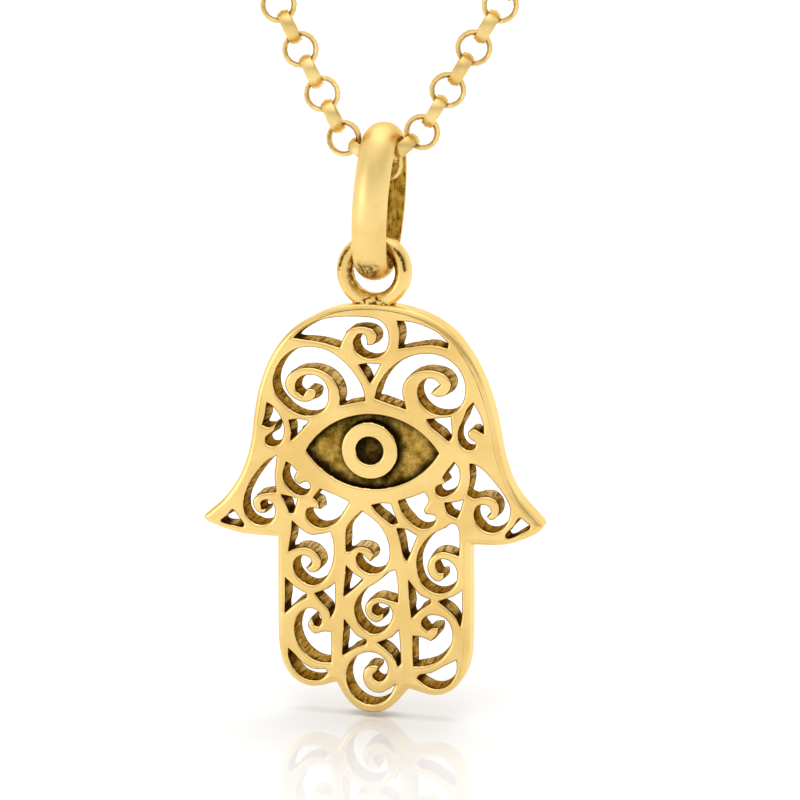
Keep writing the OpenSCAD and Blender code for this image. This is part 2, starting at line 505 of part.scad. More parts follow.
module bail() {
    aside = side_r - bail_gap / 2;
    turn = side_turn + side_into;
    color(gold) translate([bail_top[0], 0, bail_top[1]]) rotate([0, bail_lean, 0])
        translate([0, 0, -bail_reach]) {
            bail_arc(0, bail_reach, bail_bend, side_turn, 180 - side_turn, 0);
            bail_arc(aside, 0, side_r, 180 - turn, 180 + turn, side_inset);
            bail_arc(0, -bail_reach, bail_bend, 180 + side_turn, 360 - side_turn, 0);
            bail_arc(-aside, 0, side_r, -turn, turn, side_inset);
        }
}

// One link: a ring of flattened wire
module ring(bore, wire_t, wire_w) {
    flat = link_flat * wire_w / 2;
    rotate_extrude($fn = 32) translate([(bore + wire_t) / 2, 0])
        polygon([
            [wire_t / 2, -flat], [wire_t / 2, flat], [0, wire_w / 2],
            [-wire_t / 2, flat], [-wire_t / 2, -flat], [0, -wire_w / 2],
        ]);
}

// Every second link faces the front, and those between lie across it along the strand
module link(side, i) {
    place = route(side, i * link_pitch);
    at = carrier + place[0];
    translate([at[0], 0, at[1]])
        rotate(i % 2 == 0 ? [90, 0, 0] : [0, -place[1], 0]) ring(link_bore, link_t, link_w);
}

module chain_left() {
    color(gold_deep) for (i = [0:links_a_side]) link(0, i);
}

module chain_right() {
    color(gold_deep) for (i = [1:links_a_side]) link(1, i);
}

// A plain barrel with an eye at each end, which the last links pass through
module clasp() {
    ends = [for (side = [0, 1]) carrier + route(side, (links_a_side + 1) * link_pitch)[0]];
    span = norm(ends[1] - ends[0]);
    lie = atan2(ends[1][1] - ends[0][1], ends[1][0] - ends[0][0]);
    mid = (ends[0] + ends[1]) / 2;
    tip = (span - link_bore - clasp_eye_t) / 2;
    shoulder = tip - clasp_taper;
    color(gold_deep) translate([mid[0], 0, mid[1]]) rotate([0, -lie, 0]) {
        rotate([0, 90, 0]) rotate_extrude($fn = 48)
            polygon([
                [0, -tip], [clasp_tip_d / 2, -tip], [clasp_d / 2, -shoulder],
                [clasp_d / 2, shoulder], [clasp_tip_d / 2, tip], [0, tip],
            ]);
        for (side = [-1, 1])
            translate([side * span / 2, 0, 0]) rotate([90, 0, 0]) ring(link_bore, clasp_eye_t, link_w);
    }
}

hand();
bail();
chain_left();
chain_right();
clasp();
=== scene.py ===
import json
import math

import bpy
import numpy as np
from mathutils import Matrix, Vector, geometry, kdtree


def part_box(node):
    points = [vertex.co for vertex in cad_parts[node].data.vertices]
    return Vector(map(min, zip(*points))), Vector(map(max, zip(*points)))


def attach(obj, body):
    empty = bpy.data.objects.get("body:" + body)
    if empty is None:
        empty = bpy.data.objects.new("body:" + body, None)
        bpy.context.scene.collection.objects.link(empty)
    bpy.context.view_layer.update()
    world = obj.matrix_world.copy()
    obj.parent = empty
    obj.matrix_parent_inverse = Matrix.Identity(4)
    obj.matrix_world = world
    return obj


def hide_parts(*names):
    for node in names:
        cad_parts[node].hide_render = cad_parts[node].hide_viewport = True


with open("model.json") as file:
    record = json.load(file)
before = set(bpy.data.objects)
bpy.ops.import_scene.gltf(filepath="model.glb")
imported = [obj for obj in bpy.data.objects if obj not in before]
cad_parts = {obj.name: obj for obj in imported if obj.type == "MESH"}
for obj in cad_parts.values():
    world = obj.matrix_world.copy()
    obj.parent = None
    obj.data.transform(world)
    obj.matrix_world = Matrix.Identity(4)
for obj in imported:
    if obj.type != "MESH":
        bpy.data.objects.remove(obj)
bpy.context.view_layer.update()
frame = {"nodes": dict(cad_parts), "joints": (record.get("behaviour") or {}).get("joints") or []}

# The plate is a flat hand of cast yellow gold, with its scrolls sawn right through and an eye sunk in
# its palm. The front is polished, the rim is filed over to a soft bevel, and the sawn walls are left
# rough. Their colour carries painted shade in the corners and close behind the front edge, and painted
# light where the walls bulge out.

mm = 0.001
plate_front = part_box("hand")[0].y
plate_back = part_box("hand")[1].y
# The net of points over the plate: their spacing, and the rows that follow every edge
ring_spacing = 0.125 * mm
corner_turn = math.radians(46)
net_spacing = 0.34 * mm
net_margin = 0.1 * mm
crowding = 0.88
gap_insets = np.array([0.045, 0.09, 0.14, 0.2]) * mm
rim_insets = np.array([0.06, 0.15, 0.25, 0.33, 0.37, 0.42]) * mm
floor_insets = np.array([0.1, 0.24]) * mm
# How wide each edge is filed, and how far it drops there
gap_edge = 0.17 * mm
gap_drop = 0.13 * mm
eye_edge = 0.14 * mm
eye_drop = 0.11 * mm
rim_round = 0.37 * mm
rim_drop = 0.22 * mm
back_rim_drop = 0.5 * rim_drop
back_gap_drop = 0.6 * gap_drop
# The eye's floor: shallow dents, and a hollow that rises to its walls
eye_depth = 0.8 * mm
dent_waves = 14
dents_a_mm = 2.2
dent_depth = 0.012 * mm
floor_round = 0.16 * mm
floor_rise = 0.1 * mm
# The walls: how the saw leaned and left its marks, which are faint on the rim and in the eye
wall_levels = 6
wall_lean = 0.26
lean_wave = 1.1 * mm
saw_marks = 0.022 * mm
saw_waves = (1.9, 1.3, 0.83, 0.61, 0.47, 0.37)
rim_marks = 0.12
eye_marks = 0.3
gap_probe = 0.45 * mm
bulge_reach = 0.4 * mm
# What the materials are told: a distance that is nowhere near, and how dark the painted shade makes
# the eye's walls and pupil
far = 9 * mm
eye_wall_shade = 0.1 * mm
pupil_shade = 0.35
polished, sawn, antiqued_and_shaded = range(3)


def rings_at(node, depth):
    """Closed rings of (x, z) points round the node's flat face at that depth: the sides of its triangles
    that no second triangle shares, each followed from point to point with the metal on its left."""
    data = frame["nodes"][node].data
    data.calc_loop_triangles()
    co = np.empty(len(data.vertices) * 3)
    data.vertices.foreach_get("co", co)
    tri = np.empty(len(data.loop_triangles) * 3, np.int32)
    data.loop_triangles.foreach_get("vertices", tri)
    grain = 0.001 * mm
    spots, same = np.unique(np.rint(co.reshape(-1, 3) / grain).astype(np.int64), axis=0, return_inverse=True)
    tri = same.reshape(-1)[tri].reshape(-1, 3)
    level = np.abs(spots[tri][:, :, 1] * grain - depth).max(1) < 2 * grain
    tri = tri[level & (tri[:, 0] != tri[:, 1]) & (tri[:, 1] != tri[:, 2]) & (tri[:, 2] != tri[:, 0])]
    sides = np.concatenate([tri[:, [0, 1]], tri[:, [1, 2]], tri[:, [2, 0]]])
    names = sides @ [len(spots), 1]
    twins = sides @ [1, len(spots)]
    following = dict(sides[~np.isin(names, twins)].tolist())
    rings = []
    while following:
        ring = [next(iter(following))]
        while ring[-1] in following:
            ring.append(following.pop(ring[-1]))
        rings.append(spots[ring[:-1]][:, [0, 2]] * grain)
    return rings


def signed_area(ring):
    """Half the sum of the cross products of neighbouring points. It is positive where the ring runs
    anticlockwise."""
    after = np.roll(ring, -1, 0)
    return 0.5 * np.sum(ring[:, 0] * after[:, 1] - ring[:, 1] * after[:, 0])


def refined(ring, spacing):
    """The ring with points at that spacing or closer: on each side a cubic whose slope at either end is
    half the way between the neighbours. At a corner the far neighbour is the near one's mirror image."""
    before, after, beyond = np.roll(ring, 1, 0), np.roll(ring, -1, 0), np.roll(ring, -2, 0)
    a, b = ring - before, after - ring
    turn = np.abs(np.arctan2(a[:, 0] * b[:, 1] - a[:, 1] * b[:, 0], (a * b).sum(1)))
    sharp = (turn > corner_turn)[:, None]
    start = np.where(sharp, after - ring, (after - before) / 2)
    end = np.where(np.roll(sharp, -1, 0), after - ring, (beyond - ring) / 2)
    count = np.maximum(1, np.ceil(np.linalg.norm(b, axis=1) / spacing)).astype(int)
    side = np.repeat(np.arange(len(ring)), count)
    t = ((np.arange(len(side)) - np.repeat(np.cumsum(count) - count, count)) / count[side])[:, None]
    return (
        (2 * t**3 - 3 * t**2 + 1) * ring[side] + (t**3 - 2 * t**2 + t) * start[side]
        + (3 * t**2 - 2 * t**3) * after[side] + (t**3 - t**2) * end[side]
    )


def normals_of(ring):
    """Unit normals towards the metal: the mean of the two sides that meet at a point, turned left."""
    side = np.roll(ring, -1, 0) - ring
    side /= np.linalg.norm(side, axis=1, keepdims=True)
    mean = side + np.roll(side, 1, 0)
    mean /= np.maximum(np.linalg.norm(mean, axis=1, keepdims=True), 1e-9)
    return np.stack([-mean[:, 1], mean[:, 0]], 1)


def distance_to(points, rings):
    """Distance from each point to the closest ring: the closest ring point is found first, then the
    closer of the two sides that meet there."""
    corners = np.concatenate(rings)
    tree = kdtree.KDTree(len(corners))
    for i, (x, z) in enumerate(corners.tolist()):
        tree.insert((x, z, 0), i)
    tree.balance()
    near = np.array([tree.find((x, z, 0))[1] for x, z in points.tolist()])
    best = np.full(len(points), np.inf)
    for step in (1, -1):
        other = np.concatenate([np.roll(ring, step, 0) for ring in rings])[near]
        along = other - corners[near]
        share = ((points - corners[near]) * along).sum(1) / np.maximum((along**2).sum(1), 1e-18)
        foot = corners[near] + np.clip(share, 0, 1)[:, None] * along
        best = np.minimum(best, np.linalg.norm(points - foot, axis=1))
    return best


def inside(points, rings):
    """True where a line from the point towards +x crosses the rings an odd number of times."""
    a = np.concatenate(rings)
    b = np.concatenate([np.roll(ring, -1, 0) for ring in rings])
    odd = np.zeros(len(points), bool)
    for rows in np.array_split(np.arange(len(points)), 1 + len(points) // 500):
        x, z = points[rows, 0, None], points[rows, 1, None]
        level = (a[:, 1] > z) != (b[:, 1] > z)
        slope = (b[:, 0] - a[:, 0]) / np.where(a[:, 1] == b[:, 1], 1, b[:, 1] - a[:, 1])
        odd[rows] = (level & (x < a[:, 0] + (z - a[:, 1]) * slope)).sum(1) % 2 == 1
    return odd


def made_piece(name, co, faces, marks=None, kinds=None, sharp=32):
    """A mesh object of that name from points and faces, smooth but for edges sharper than the angle in
    degrees. marks are named values on its points, and kinds its faces' material numbers."""
    data = bpy.data.meshes.new(name)
    data.from_pydata(co.tolist(), [], faces.tolist() if isinstance(faces, np.ndarray) else faces)
    for mark, values in (marks or {}).items():
        data.attributes.new(mark, "FLOAT", "POINT").data.foreach_set("value", np.asarray(values, np.float32))
    if kinds is not None:
        data.polygons.foreach_set("material_index", np.asarray(kinds, np.int32))
    data.shade_smooth()
    data.set_sharp_from_angle(angle=math.radians(sharp))
    made = bpy.data.objects.new(name, data)
    bpy.context.scene.collection.objects.link(made)
    return made


def quarter_round(distance, width, drop):
    """Depth of a rounded edge: a quarter ellipse of that width and drop, level past its width."""
    share = np.clip(1 - distance / width, 0, 1)
    return drop * (1 - np.sqrt(1 - share**2))


def filed_bevel(distance, width, drop):
    """Depth of a filed edge: half a straight bevel that starts at a crease, half a quarter ellipse."""
    share = np.clip(1 - distance / width, 0, 1)
    return 0.55 * drop * share + quarter_round(distance, width, 0.45 * drop)


rings = [refined(ring, ring_spacing) for ring in rings_at("hand", plate_front)]
rings.sort(key=lambda ring: -abs(signed_area(ring)))
outline = rings[0]
iris = next(ring for ring in rings[1:] if signed_area(ring) > 0)
iris_at = iris.mean(0)
round_iris = [ring for ring in rings[1:] if inside(iris_at[None], [ring])[0]]
eye, pupil = round_iris[0], round_iris[-1]
gaps = [ring for ring in rings[1:] if all(ring is not other for other in round_iris)]
through = [outline, *gaps]
sunk = [eye, iris, pupil]

inset_points = [outline + inset * normals_of(outline) for inset in rim_insets]
inset_points += [ring + inset * normals_of(ring) for ring in [*gaps, *sunk] for inset in gap_insets]
inset_points += [ring - inset * normals_of(ring) for ring in sunk for inset in floor_insets]
inset_sizes = np.concatenate(
    [np.full(len(outline), inset) for inset in rim_insets]
    + [np.full(len(ring), inset) for ring in [*gaps, *sunk] for inset in gap_insets]
    + [np.full(len(ring), inset) for ring in sunk for inset in floor_insets]
)
inset_points = np.concatenate(inset_points)
inset_points = inset_points[distance_to(inset_points, [*through, *sunk]) > crowding * inset_sizes]
low, high = outline.min(0), outline.max(0)
across = np.arange(low[0], high[0], net_spacing)
up = np.arange(low[1], high[1], net_spacing * math.sqrt(0.75))
lattice = np.stack(np.meshgrid(across, up), 2)
lattice[1::2, :, 0] += net_spacing / 2
lattice = lattice.reshape(-1, 2)
clear = distance_to(lattice, [*gaps, *sunk]) > gap_insets[-1] + net_margin
lattice = lattice[clear & (distance_to(lattice, [outline]) > rim_insets[-1] + net_margin)]
inner = np.concatenate([inset_points, lattice])
inner = inner[inside(inner, through)]

# The plate's face is a net of triangles that keeps every ring's sides as its own
spots = np.concatenate([*through, *sunk, inner])
sides = []
first = 0
ring_starts = []
for ring in [*through, *sunk]:
    number = first + np.arange(len(ring))
    sides += np.stack([number, np.roll(number, -1)], 1).tolist()
    ring_starts.append(first)
    first += len(ring)
net = geometry.delaunay_2d_cdt([Vector(p) for p in ((spots - iris_at) / mm).tolist()], sides, [], 0, 1e-7)
source = np.array([old[0] for old in net[3]])
corners = source[np.array(net[2])]
middles = spots[corners].mean(1)
corners = corners[inside(middles, through)]
middles = spots[corners].mean(1)
in_floor = inside(middles, [eye]) & ~inside(middles, [iris])
in_pupil = inside(middles, [pupil])
on_front = ~(in_floor | in_pupil)

to_rim = distance_to(spots, [outline])
to_gap = distance_to(spots, gaps)
to_sunk = distance_to(spots, sunk)
front_y = (
    plate_front + filed_bevel(to_rim, rim_round, rim_drop) + filed_bevel(to_gap, gap_edge, gap_drop)
    + filed_bevel(to_sunk, eye_edge, eye_drop)
)
back_y = plate_back - quarter_round(to_rim, rim_round, back_rim_drop)
back_y -= quarter_round(to_gap, gap_edge, back_gap_drop)
dents = np.random.default_rng(3)
waves = dents.normal(size=(dent_waves, 2)) * dents_a_mm / mm
phases = dents.uniform(0, 2 * math.pi, dent_waves)
floor_y = plate_front + eye_depth + dent_depth * np.sin(spots @ waves.T + phases).sum(1) / 2
floor_y -= quarter_round(to_sunk, floor_round, floor_rise)


def upright(points, y):
    """Points (x, z) of the plate's plane at the depths y, as (x, y, z)."""
    return np.stack([points[:, 0], y, points[:, 1]], 1)


count = len(spots)
plate_co = [upright(spots, front_y), upright(spots, back_y), upright(spots, floor_y)]
plate_faces = [corners[on_front], corners[:, ::-1] + count, corners[~on_front] + 2 * count]
plate_kinds = [
    np.full(on_front.sum(), polished), np.full(len(corners), polished), np.full((~on_front).sum(), antiqued_and_shaded),
]
rim_mark = [to_rim, np.full(count, far), np.full(count, far)]
# On the eye's floor this distance sets the painted shade along the walls; in the pupil it is shrunk, so the
# pupil is darker
edge_mark = [np.minimum(to_gap, to_sunk), to_gap, np.where(inside(spots, [pupil]), pupil_shade, 1) * to_sunk]
deep_mark = [np.zeros(count), np.zeros(count), np.ones(count)]


def saw_marks_on(length, level, seed):
    """How far a sawn wall stands back, along its ring and down its depth (0 to 1): a sum of waves along
    the ring, each leaning a little with depth, that dies out at the front edge."""
    rng = np.random.default_rng(seed)
    s = length / mm
    depth = 0
    for w in saw_waves:
        size, phase, slant = rng.uniform((0.3, 0, -0.5), (1, 1, 0.5))
        depth = depth + size * np.sin(2 * math.pi * (s[None] / w + phase + slant * level[:, None]))
    return saw_marks * depth * np.sin(math.pi * level[:, None] ** 0.6)


def turning(ring, reach):
    """How far the ring turns left at each point, in radians: the angle from the chord that arrives over
    the reach to the chord that leaves over it. It is positive where the metal bulges out."""
    k = round(reach / ring_spacing)
    a, b = ring - np.roll(ring, k, 0), np.roll(ring, -k, 0) - ring
    return np.arctan2(a[:, 0] * b[:, 1] - a[:, 1] * b[:, 0], (a * b).sum(1))


bulge_mark = [np.zeros(count)] * 3
placed = 3 * count
level = np.linspace(0, 1, wall_levels + 1)[1:-1]
for number, (ring, start) in enumerate(zip([*through, *sunk], ring_starts)):
    n = len(ring)
    here = start + np.arange(n)
    is_rim, is_sunk = number == 0, number >= len(through)
    foot = 2 * count + here if is_sunk else count + here
    foot_y = (floor_y if is_sunk else back_y)[here]
    length = np.concatenate([[0], np.cumsum(np.linalg.norm(np.diff(ring, axis=0), axis=1))])
    wander = saw_marks_on(length, level, number)
    if is_rim:
        wander = rim_marks * np.abs(wander)
    if is_sunk:
        wander = eye_marks * wander
    to_metal = normals_of(ring)
    # How wide the gap is here: the closest part of the ring from a point a little way into it
    width = distance_to(ring - gap_probe * to_metal, [ring])
    if not (is_rim or is_sunk):
        # The saw leaned a little, so the gap narrows towards the back
        lean = wall_lean * width * (0.75 + 0.25 * np.sin(length / lean_wave + number))
        wander = wander - lean * level[:, None] ** 1.2
        plate_co[1][here, 0] -= lean * to_metal[:, 0]
        plate_co[1][here, 2] -= lean * to_metal[:, 1]
    points = ring[None] + wander[:, :, None] * to_metal[None]
    y = front_y[here] + level[:, None] * (foot_y - front_y[here])
    plate_co.append(np.stack([points[:, :, 0], y, points[:, :, 1]], 2).reshape(-1, 3))
    rows = np.concatenate([here[None], placed + np.arange(len(level) * n).reshape(-1, n), foot[None]])
    a, b = rows[:-1], rows[1:]
    quads = np.stack([a, b, np.roll(b, -1, 1), np.roll(a, -1, 1)], 2).reshape(-1, 4)
    plate_faces.append(quads)
    plate_kinds.append(np.full(len(quads), polished if is_rim else antiqued_and_shaded if is_sunk else sawn))
    rim_mark.append(np.full(len(level) * n, far))
    # The walls' marks for painted light and shade: the gap's width darkens narrow corners, depth darkens the
    # wall behind the front edge, and bulge lightens walls that bulge out. The eye's walls get a short
    # distance, which paints them nearly black
    edge_mark.append(np.tile(np.full(n, eye_wall_shade) if is_sunk else width, len(level)))
    deep_mark.append(np.repeat(level, n))
    bulge_mark.append(np.tile(turning(ring, bulge_reach), len(level)))
    placed += len(level) * n

plate_faces = [face for block in plate_faces for face in block.tolist()]
plate = made_piece(
    "hand_plate", np.concatenate(plate_co), plate_faces,
    {
        "rim": np.concatenate(rim_mark), "edge": np.concatenate(edge_mark),
        "deep": np.concatenate(deep_mark), "bulge": np.concatenate(bulge_mark),
    },
    np.concatenate(plate_kinds), sharp=40,
)


def node_maker(tree):
    """A function that adds a shader node to the tree with its settings. An input is a constant or
    another node's output."""
    tree.nodes.clear()

    def node(kind, inputs=(), **settings):
        made = tree.nodes.new("ShaderNode" + kind)
        for key, value in settings.items():
            setattr(made, key, value)
        for key, value in dict(inputs).items():
            if isinstance(value, bpy.types.NodeSocket):
                tree.links.new(value, made.inputs[key])
            else:
                made.inputs[key].default_value = value
        return made

    return node


def new_material(name):
    """A material with an empty tree, and the function that adds nodes to it."""
    material = bpy.data.materials.new(name)
    material.use_nodes = True
    return material, node_maker(material.node_tree)


def in_mm(node, stretch=(1, 1, 1)):
    """Object coordinates counted in millimetres, drawn out along an axis where the stretch is under 1."""
    place = node("TexCoord").outputs["Object"]
    return node("Mapping", {"Vector": place, "Scale": [1000 * s for s in stretch]}).outputs["Vector"]


def colour_of(red, green, blue):
    """A colour given as screen values from 0 to 255, as the light that it stands for."""
    parts = np.array([red, green, blue]) / 255
    light = np.where(parts <= 0.04045, parts / 12.92, ((parts + 0.055) / 1.055) ** 2.4)
    return (*light.tolist(), 1.0)


gold_colour = colour_of(247, 213, 137)
gold_deep = colour_of(234, 196, 119)
gold_edge = colour_of(255, 244, 214)
# The brown of patina, also used for painted shade
patina_and_shade_brown = colour_of(94, 66, 14)
gloss_spread = 0.05


def mixed(node, factor, a, b):
    """One colour turning into another by a factor."""
    made = node("Mix", data_type="RGBA")
    tree = made.id_data
    for key, value in (("Factor_Float", factor), ("A_Color", a), ("B_Color", b)):
        target = next(s for s in made.inputs if s.identifier == key)
        if isinstance(value, bpy.types.NodeSocket):
            tree.links.new(value, target)
        else:
            target.default_value = value
    return next(s for s in made.outputs if s.identifier == "Result_Color")


def ramp(node, value, low, high, out_low=0.0, out_high=1.0):
    """A value carried from one range to another along a smooth step."""
    made = node(
        "MapRange",
        {"Value": value, "From Min": low, "From Max": high, "To Min": out_low, "To Max": out_high},
        interpolation_type="SMOOTHSTEP",
    )
    return made.outputs["Result"]


def product(node, a, b):
    """Two values multiplied."""
    return node("Math", {0: a, 1: b}, operation="MULTIPLY").outputs[0]


def total(node, a, b):
    """Two values added."""
    return node("Math", {0: a, 1: b}, operation="ADD").outputs[0]


def noise(node, place, scale, detail=2.0, rough=0.5):
    """Soft noise round 0.5, with that many features to a millimetre and finer ones laid over them."""
    settings = {"Vector": place, "Scale": scale, "Detail": detail, "Roughness": rough}
    return node("TexNoise", settings).outputs["Fac"]


def marked(node, mark):
    """The value of a mark that the mesh carries on its points."""
    return node("Attribute", attribute_name=mark).outputs["Fac"]


def bumped(node, height, strength, distance, under=None):
    """The normal of a surface with that relief, laid over the relief under it."""
    settings = {"Height": height, "Strength": strength, "Distance": distance}
    if under is not None:
        settings["Normal"] = under
    return node("Bump", settings).outputs["Normal"]


def finished(node, settings):
    """The surface with those settings, joined to the material's output."""
    node("OutputMaterial", {"Surface": node("BsdfPrincipled", settings).outputs[0]})


def gold(name, base=gold_colour, deep=gold_deep, roughness=0.2, grain=0.0, rim_crease_shade=False):
    """Polished yellow gold. Its tone clouds over by a few shades, its gloss is broken by fine scratches
    and by prints of the polishing mop, and it turns brown in patches where the mark for patina and
    painted shade is high. Where asked, a dark line of painted shade runs along the crease of the filed
    rim, and grain is the depth of cast pits."""
    material, node = new_material(name)
    place = in_mm(node)
    tone = mixed(node, ramp(node, noise(node, place, 0.22, 4.0), 0.4, 0.68), base, deep)
    # Painted shade: a dark line along the crease of the filed rim
    if rim_crease_shade:
        crease_at = rim_round - 0.01 * mm
        off = node("Math", {0: marked(node, "rim"), 1: crease_at}, operation="SUBTRACT").outputs[0]
        off = node("Math", {0: off}, operation="ABSOLUTE").outputs[0]
        line = ramp(node, off, 0.012 * mm, 0.036 * mm, 0.75, 0.0)
        # The line is strong over the dome and faint along the fingers
        up = node("SeparateXYZ", {"Vector": place}).outputs["Z"]
        line = product(node, line, ramp(node, up, iris_at[1] / mm - 5, iris_at[1] / mm + 3, 0.3, 1.0))
        patches = ramp(node, noise(node, place, 0.5), 0.3, 0.55, 0.25, 1.0)
        tone = mixed(node, product(node, line, patches), tone, patina_and_shade_brown)
    # Brown where the mark is high: patina on the bail and the solder, painted shade along the chain's inner
    # edges and the loop's crease, and both in the loop's bore
    blots = ramp(node, noise(node, place, 3.2, 5.0, 0.7), 0.4, 0.54, 0.12, 1.0)
    tone = mixed(node, product(node, marked(node, "patina_and_shade"), blots), tone, patina_and_shade_brown)
    mop = noise(node, place, 1.6, 5.0, 0.65)
    gloss = ramp(node, mop, 0.3, 0.75, roughness - gloss_spread, roughness + gloss_spread)
    hairs = noise(node, in_mm(node, (1, 1, 0.12)), 9.0, 3.0)
    relief = bumped(node, hairs, 0.25, 0.002 * mm)
    relief = bumped(node, noise(node, place, 0.7), 0.35, 0.03 * mm, relief)
    if grain:
        relief = bumped(node, noise(node, place, 6.0, 6.0, 0.7), 0.8, grain, relief)
    finished(node, {
        "Base Color": tone, "Metallic": 1.0, "Roughness": gloss, "Normal": relief, "Specular Tint": gold_edge,
    })
    return material


def sawn_gold(name, stretch=(1, 0.1, 1), light=colour_of(252, 222, 150), dark=colour_of(192, 148, 62)):
    """Rough gold with marks that run the long way of the stretch. It has painted light and shade: lighter
    where the metal bulges out and browner where it doesn't, and nearly black close behind the front edge
    and where the gap narrows to a corner."""
    material, node = new_material(name)
    marks = noise(node, in_mm(node, stretch), 4.6, 5.0, 0.7)
    blots = noise(node, in_mm(node), 2.2, 4.0, 0.65)
    # Painted light: walls that bulge out are lighter, the others browner, broken up by random blots
    bulge = total(node, marked(node, "bulge"), product(node, blots, 1.2))
    tone = mixed(node, ramp(node, bulge, 0.35, 0.85), dark, light)
    tone = mixed(node, ramp(node, marks, 0.4, 0.53, 0.85, 0.0), tone, colour_of(104, 72, 10))
    # Painted shade: nearly black where the gap narrows to a corner
    narrow = ramp(node, marked(node, "edge"), 0.06 * mm, 0.32 * mm, 0.85, 0.0)
    tone = mixed(node, narrow, tone, colour_of(54, 34, 2))
    # Painted shade close behind the front edge, weaker where the wall bulges out
    shade = ramp(node, marked(node, "deep"), 0.0, 0.4, 0.9, 0.0)
    shade = product(node, shade, ramp(node, blots, 0.4, 0.6, 1.0, 0.15))
    shade = product(node, shade, ramp(node, bulge, 0.5, 0.95, 1.0, 0.3))
    tone = mixed(node, shade, tone, colour_of(64, 40, 3))
    finished(node, {
        "Base Color": tone, "Metallic": 0.6, "Roughness": ramp(node, blots, 0.3, 0.7, 0.42, 0.6),
        "Normal": bumped(node, total(node, marks, blots), 0.9, 0.04 * mm),
        "Specular IOR Level": 0.0, "Specular Tint": colour_of(190, 140, 56),
    })
    return material


def antiqued_and_shaded_gold(name):
    """The eye's floor: gold blackened by a chemical bath and rubbed back, brown in the open. Painted shade
    makes it nearly black along the walls."""
    material, node = new_material(name)
    place = in_mm(node)
    blots = noise(node, place, 1.1, 7.0, 0.68)
    specks = noise(node, place, 8.0, 4.0, 0.6)
    tone = mixed(node, ramp(node, blots, 0.36, 0.66), colour_of(140, 106, 28), colour_of(222, 182, 90))
    tone = mixed(node, ramp(node, specks, 0.5, 0.72, 0.0, 0.5), tone, colour_of(84, 60, 10))
    # Painted shade: nearly black close to the walls, its reach broken up by blots
    shade = total(node, marked(node, "edge"), product(node, blots, 0.6 * mm))
    tone = mixed(node, ramp(node, shade, 0.3 * mm, 1.0 * mm, 0.97, 0.0), tone, colour_of(24, 15, 1))
    finished(node, {
        "Base Color": tone, "Metallic": 0.7, "Roughness": ramp(node, specks, 0.3, 0.7, 0.38, 0.6),
        "Normal": bumped(node, total(node, blots, specks), 0.8, 0.03 * mm),
        "Specular IOR Level": 0.1, "Specular Tint": colour_of(150, 116, 48),
    })
    return material


for material in (gold("plate_gold", rim_crease_shade=True), sawn_gold("sawn_gold"), antiqued_and_shaded_gold("antiqued_and_shaded_gold")):
    plate.data.materials.append(material)
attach(plate, "hand")
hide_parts("hand")

# The loop is a thick ring of the same gold. Its edges are filed to broad bevels, and it stands upright
# on the top of the dome, where it is soldered.

joints = {joint["name"]: joint for joint in frame["joints"]}
loop_at = np.array(joints["hand_sway"]["pos_m"])
loop_r = 2.6 * mm
loop_bore_r = 1.5 * mm
loop_half = 0.7 * mm
# The flat sides lie between these radii, and the bore and the outside are this wide from their middle
side_in = 1.86 * mm
side_out = 2.3 * mm
bore_half = 0.36 * mm
outside_half = 0.4 * mm
loop_soft = 0.16 * mm
loop_steps = 144


def smooth_step(value, low, high):
    """0 below the range and 1 above it. Between them it is three times the share's square, less twice its
    cube."""
    t = np.clip((value - low) / (high - low), 0, 1)
    return t * t * (3 - 2 * t)


def grid_faces(rows, columns, wrap_rows=True):
    """Quads of a grid of points, numbered along its columns first. Its last column joins the first, and
    so does its last row if it is wrapped."""
    number = np.arange(rows * columns).reshape(rows, columns)
    if wrap_rows:
        number = np.concatenate([number, number[:1]])
    number = np.concatenate([number, number[:, :1]], 1)
    return np.stack([number[:-1, :-1], number[1:, :-1], number[1:, 1:], number[:-1, 1:]], 2).reshape(-1, 4)


def closed_tube(rows, columns):
    """Faces of a tube of that grid with both its ends closed: each by one flat face of a whole row."""
    first, last = list(range(columns)), list(range((rows - 1) * columns, rows * columns))
    return grid_faces(rows, columns, wrap_rows=False)[:, ::-1].tolist() + [first[::-1], last]


def rounded_section(corners, radius, steps=4):
    """A closed polygon with its corners rounded: each becomes a short curve between two points that lie
    the radius away along its sides, bent towards the corner."""
    corners = np.array(corners, float)
    before, after = np.roll(corners, 1, 0) - corners, np.roll(corners, -1, 0) - corners
    length = [np.linalg.norm(side, axis=1, keepdims=True) for side in (before, after)]
    reach = [np.minimum(radius, 0.45 * size) for size in length]
    start, end = (corners + side / size * r for side, size, r in zip((before, after), length, reach))
    t = np.linspace(0, 1, steps + 1)[None, :, None]
    curve = (1 - t) ** 2 * start[:, None] + 2 * t * (1 - t) * corners[:, None] + t**2 * end[:, None]
    return curve.reshape(-1, 2)


loop_section = rounded_section([
    (loop_bore_r, bore_half), (loop_bore_r, -bore_half), (side_in, -loop_half), (side_out, -loop_half),
    (loop_r, -outside_half), (loop_r, outside_half), (side_out, loop_half), (side_in, loop_half),
], loop_soft, 5)
loop_turn = np.linspace(0, 2 * math.pi, loop_steps, endpoint=False)[:, None]
loop_out, loop_y = loop_section[:, 0][None], loop_section[:, 1][None]
